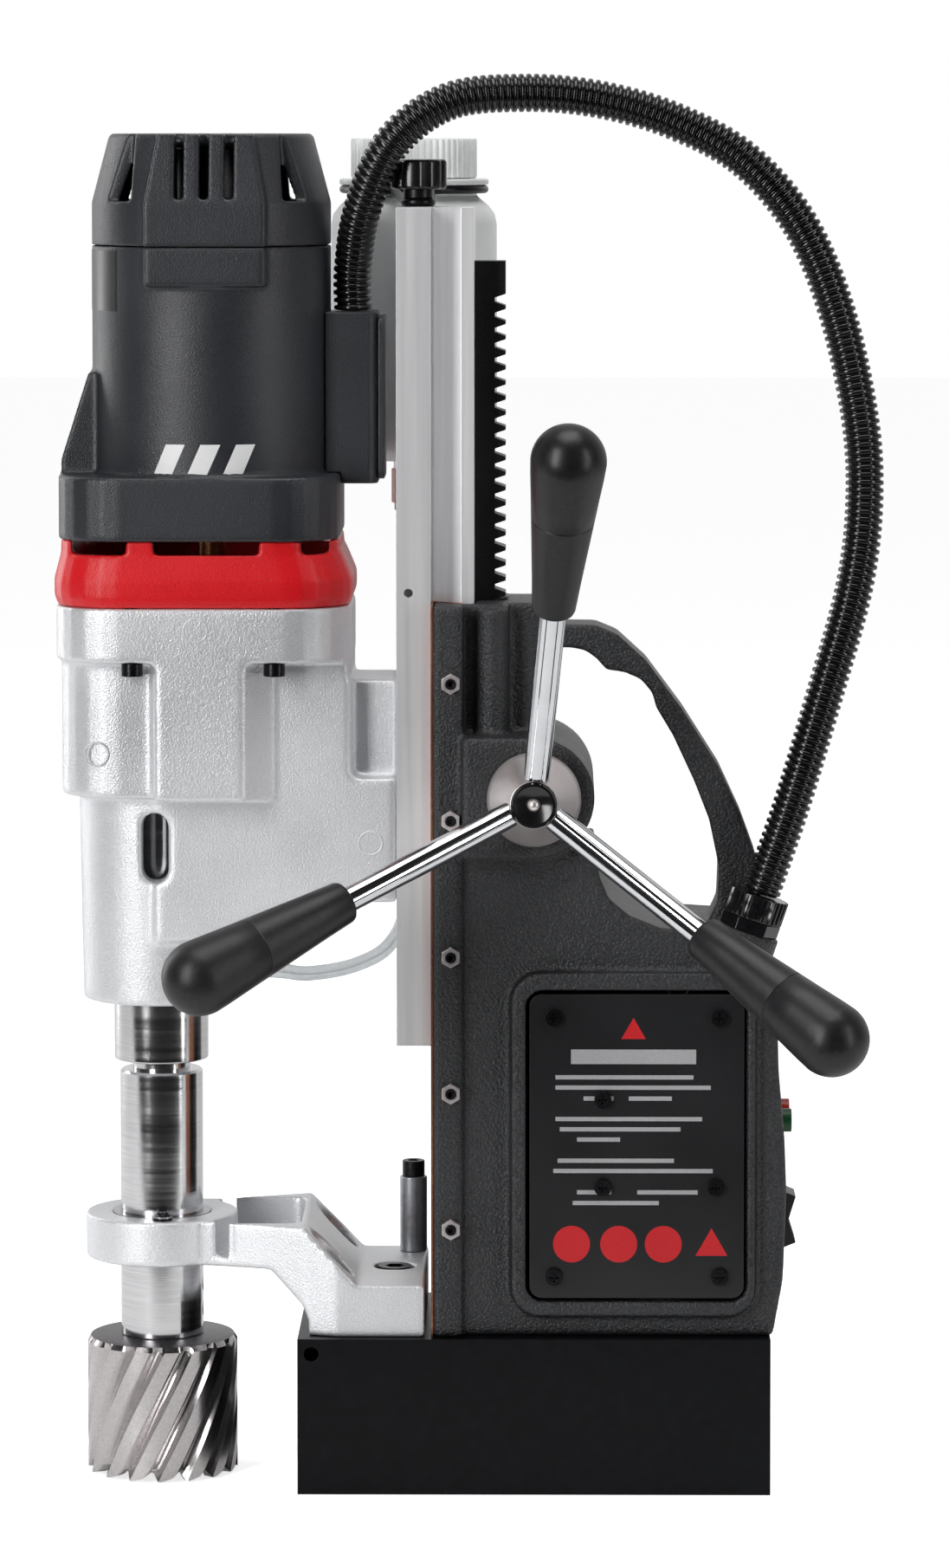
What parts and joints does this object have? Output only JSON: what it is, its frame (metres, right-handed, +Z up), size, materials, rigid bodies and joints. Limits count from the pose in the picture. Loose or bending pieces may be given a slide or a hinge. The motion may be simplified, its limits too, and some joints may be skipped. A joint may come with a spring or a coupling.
{
  "type": "magnetic drill press",
  "caption": "Magnetic drill press with an electromagnet foot, cast stand with carry handle, dovetail slide, spoked feed handwheel, geared motor, annular cutter and coolant bottle.",
  "frame": {"origin": "centre of the magnet's sole, on the plate that the machine stands on", "axes": "+Z up along the slide, -X towards the spindle and cutter, -Y towards the handwheel"},
  "size_m": [0.3865, 0.3079, 0.66],
  "materials": {
    "magnet_paint": "gloss black paint on ground steel",
    "copper_wire": "enamelled copper winding",
    "potting": "black casting resin",
    "stand_paint": "coarse black powder coat on cast aluminium",
    "black_steel": "black oxide",
    "cover_print": "printed black sheet",
    "brass": "machined brass",
    "zinc_steel": "plain steel",
    "cast_aluminium": "shot-blast cast aluminium",
    "bronze": "sintered bronze",
    "board": "circuit board",
    "gloss_black_plastic": "glossy black nylon",
    "ground_steel": "ground and satin polished",
    "red_paint": "red paint on cast aluminium",
    "motor_plastic": "fine-grained dark grey nylon",
    "laminations": "varnished laminations and winding",
    "carbon": "carbon",
    "bearing_steel": "bearing steel",
    "wire": "black coated wire",
    "clear_plastic": "translucent polyethylene",
    "red_brass": "anodised red-brown metal",
    "clear_hose": "clear vinyl",
    "cutter_steel": "ground high-speed steel",
    "spring_steel": "spring steel",
    "gear_steel": "hardened gear steel",
    "chrome": "bright chrome",
    "stainless": "turned stainless steel",
    "knob_plastic": "satin black plastic",
    "cap_plastic": "white polyethylene",
    "green_button": "green",
    "red_button": "red"
  },
  "bodies": {
    "stand": {"magnet_body": "magnet_paint", "magnet_coil": "copper_wire", "magnet_potting": "potting", "stand_housing": "stand_paint", "foot_bolts": "black_steel", "cover_plate": "cover_print", "cover_screws": "black_steel", "gib_strip": "brass", "gib_screws": "black_steel", "gib_nuts": "zinc_steel", "support_bracket": "cast_aluminium", "bracket_bushing": "bronze", "stop_post": "black_steel", "stop_post_screw": "black_steel", "pinion_bushings": "bronze", "control_board": "board", "rear_panel": "gloss_black_plastic", "gland_body": "gloss_black_plastic", "gland_nut": "gloss_black_plastic", "mains_gland": "gloss_black_plastic", "conduit": "gloss_black_plastic"},
    "carriage": {"slide": "ground_steel", "rack": "black_steel", "slide_screws": "black_steel", "gearbox_housing": "cast_aluminium", "gearbox_screws": "black_steel", "air_collar": "red_paint", "motor_housing": "motor_plastic", "motor_cap": "motor_plastic", "motor_field": "laminations", "brushes": "carbon", "motor_bearings": "bearing_steel", "junction_box": "motor_plastic", "junction_box_cover": "motor_plastic", "bottle_holder": "wire", "coolant_bottle": "clear_plastic", "coolant_tap": "red_brass", "hose_inlet": "brass", "coolant_hose": "clear_hose", "spindle_bearings": "bearing_steel"},
    "spindle_line": {"spindle": "ground_steel", "arbor": "zinc_steel", "arbor_screws": "black_steel", "cutter": "cutter_steel", "ejector_spring": "spring_steel", "spindle_gear": "gear_steel"},
    "pilot": {"pilot_pin": "ground_steel"},
    "motor_shaft": {"armature": "laminations", "cooling_fan": "knob_plastic"},
    "idler": {"idler_gear": "gear_steel"},
    "handwheel": {"feed_pinion": "gear_steel", "feed_hub": "stainless", "spokes": "chrome", "spoke_knobs": "knob_plastic"},
    "star": {"star_knob": "knob_plastic"},
    "cap": {"bottle_cap": "cap_plastic"},
    "tap": {"tap_lever": "red_brass"},
    "switch": {"magnet_switch": "knob_plastic"},
    "start": {"start_button": "green_button"},
    "stop": {"stop_button": "red_button"}
  },
  "joints": [
    {"name": "feed_slide", "type": "slide", "parent": "stand", "child": "carriage", "axis": [0, 0, 1], "range_m": [-0.067, 0.035], "deforming": ["conduit"]},
    {"name": "handwheel_turn", "type": "hinge", "parent": "stand", "child": "handwheel", "pos_m": [0, 0, 0.326], "axis": [0, 1, 0], "range_deg": [-245, 129]},
    {"name": "spindle_spin", "type": "hinge", "parent": "carriage", "child": "spindle_line", "pos_m": [-0.1762, 0, 0.29], "axis": [0, 0, 1], "continuous": true},
    {"name": "idler_spin", "type": "hinge", "parent": "carriage", "child": "idler", "pos_m": [-0.15027, 0.02497, 0.37], "axis": [0, 0, 1], "continuous": true},
    {"name": "motor_spin", "type": "hinge", "parent": "carriage", "child": "motor_shaft", "pos_m": [-0.1514, 0, 0.5], "axis": [0, 0, 1], "continuous": true},
    {"name": "pilot_push", "type": "slide", "parent": "spindle_line", "child": "pilot", "axis": [0, 0, 1], "range_m": [0, 0.006], "stiffness_N_per_m": 400, "springref_m": -0.004, "deforming": ["ejector_spring"]},
    {"name": "star_turn", "type": "hinge", "parent": "carriage", "child": "star", "pos_m": [-0.0545, 0, 0.61], "axis": [0, 0, 1], "continuous": true},
    {"name": "cap_turn", "type": "hinge", "parent": "carriage", "child": "cap", "pos_m": [-0.0585, 0.085, 0.62], "axis": [0, 0, 1], "continuous": true},
    {"name": "tap_turn", "type": "hinge", "parent": "carriage", "child": "tap", "pos_m": [-0.0585, 0.0966, 0.443], "axis": [0, 1, 0], "range_deg": [0, 90]},
    {"name": "switch_rock", "type": "hinge", "parent": "stand", "child": "switch", "pos_m": [0.113, 0, 0.121], "axis": [0, 1, 0], "range_deg": [-6, 6]},
    {"name": "start_press", "type": "slide", "parent": "stand", "child": "start", "axis": [1, 0, 0], "range_m": [-0.002, 0], "stiffness_N_per_m": 600, "springref_m": 0.001},
    {"name": "stop_press", "type": "slide", "parent": "stand", "child": "stop", "axis": [1, 0, 0], "range_m": [-0.002, 0], "stiffness_N_per_m": 600, "springref_m": 0.001}
  ],
  "couplings": [
    {"joint": "handwheel_turn", "follows": "feed_slide", "rad_per_m": 63.492},
    {"joint": "idler_spin", "follows": "spindle_spin", "ratio": -3},
    {"joint": "motor_spin", "follows": "spindle_spin", "ratio": 9}
  ]
}
